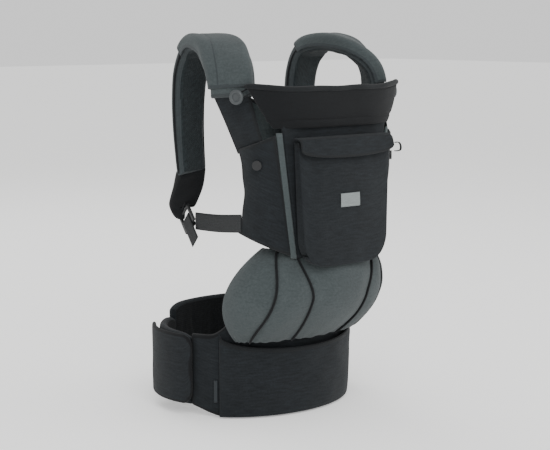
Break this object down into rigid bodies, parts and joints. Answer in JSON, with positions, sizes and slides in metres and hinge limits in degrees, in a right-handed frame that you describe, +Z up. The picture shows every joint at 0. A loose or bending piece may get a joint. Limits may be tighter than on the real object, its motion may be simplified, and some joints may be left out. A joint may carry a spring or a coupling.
{
  "type": "baby carrier backpack",
  "caption": "Soft body-worn baby carrier with a padded waist belt, gathered seat, front panel with flap pocket, head support and shoulder straps.",
  "frame": {"origin": "middle of the carrier's overall width and depth, on the ground under the waist belt", "axes": "+X to the wearer's right as seen from the front panel (to the panel's right in a front view), +Y from the front panel towards the wearer and the belt buckle, +Z up"},
  "size_m": [0.318, 0.3429, 0.5358],
  "materials": {
    "dark_twill": "matt recycled-polyester twill",
    "grey_knit": "matt brushed knit",
    "mesh_lining": "open spacer mesh",
    "webbing": "woven polyester webbing",
    "foam": "closed-cell foam under cloth",
    "moulded_plastic": "satin moulded acetal",
    "button_plastic": "satin moulded nylon"
  },
  "bodies": {
    "carrier": {"belt_front_foam": "foam", "belt_front_cover": "dark_twill", "belt_front_mesh": "mesh_lining", "belt_wing_left": "dark_twill", "belt_wing_right": "dark_twill", "lumbar_pad": "dark_twill", "belt_sleeve_left": "dark_twill", "belt_sleeve_right": "dark_twill", "belt_pocket": "dark_twill", "belt_pocket_binding": "dark_twill", "belt_tag": "webbing", "waist_webbing_left": "webbing", "waist_anchor_webbing": "webbing", "waist_adjuster": "moulded_plastic", "waist_buckle_socket": "moulded_plastic", "seat_center": "grey_knit", "seat_gore_left": "grey_knit", "seat_gore_right": "grey_knit", "thigh_lobe_left": "grey_knit", "thigh_lobe_right": "grey_knit", "seat_piping_left": "dark_twill", "seat_piping_right": "dark_twill", "front_panel": "dark_twill", "panel_lining": "mesh_lining", "edge_band_left": "grey_knit", "edge_band_right": "grey_knit", "side_wing_left": "dark_twill", "side_wing_right": "dark_twill", "wing_studs": "moulded_plastic", "panel_arm_left": "dark_twill", "panel_arm_right": "dark_twill", "pouch_front": "dark_twill", "pouch_gusset_left": "dark_twill", "pouch_gusset_right": "dark_twill", "pouch_bottom": "dark_twill", "head_base": "dark_twill", "button_left": "button_plastic", "button_right": "button_plastic", "strap_foam_left": "foam", "strap_foam_right": "foam", "strap_cover_left": "grey_knit", "strap_cover_right": "grey_knit", "strap_sleeve_left": "grey_knit", "strap_sleeve_right": "grey_knit", "strap_end_left": "dark_twill", "strap_end_right": "dark_twill", "shoulder_webbing_left": "webbing", "shoulder_webbing_right": "webbing"},
    "head_support": {"head_support": "dark_twill", "head_binding": "dark_twill", "button_loops": "webbing"},
    "pocket_flap": {"pocket_flap": "dark_twill", "flap_pull": "webbing"},
    "ladder_lock_left": {"ladder_lock_left": "moulded_plastic", "webbing_wrap_left": "webbing"},
    "ladder_lock_right": {"ladder_lock_right": "moulded_plastic", "webbing_wrap_right": "webbing"},
    "waist_plug": {"waist_buckle_plug": "moulded_plastic", "waist_webbing_right": "webbing"}
  },
  "joints": [
    {"name": "head_support_fold", "type": "hinge", "parent": "carrier", "child": "head_support", "pos_m": [0, -0.15286, 0.42206], "axis": [1, 0, 0], "range_deg": [0, 85]},
    {"name": "pocket_flap_lift", "type": "hinge", "parent": "carrier", "child": "pocket_flap", "pos_m": [0, -0.14626, 0.3959], "axis": [-1, 0, 0], "range_deg": [0, 50]},
    {"name": "ladder_lock_tilt_left", "type": "hinge", "parent": "carrier", "child": "ladder_lock_left", "pos_m": [-0.09652, 0.07721, 0.27859], "axis": [0.1139, 0.6979, -0.7071], "range_deg": [0, 30]},
    {"name": "ladder_lock_tilt_right", "type": "hinge", "parent": "carrier", "child": "ladder_lock_right", "pos_m": [0.09652, 0.07721, 0.27859], "axis": [0.1139, -0.6979, 0.7071], "range_deg": [0, 30]},
    {"name": "waist_buckle_release", "type": "slide", "parent": "carrier", "child": "waist_plug", "axis": [1, 0, 0], "range_m": [0, 0.025]}
  ]
}
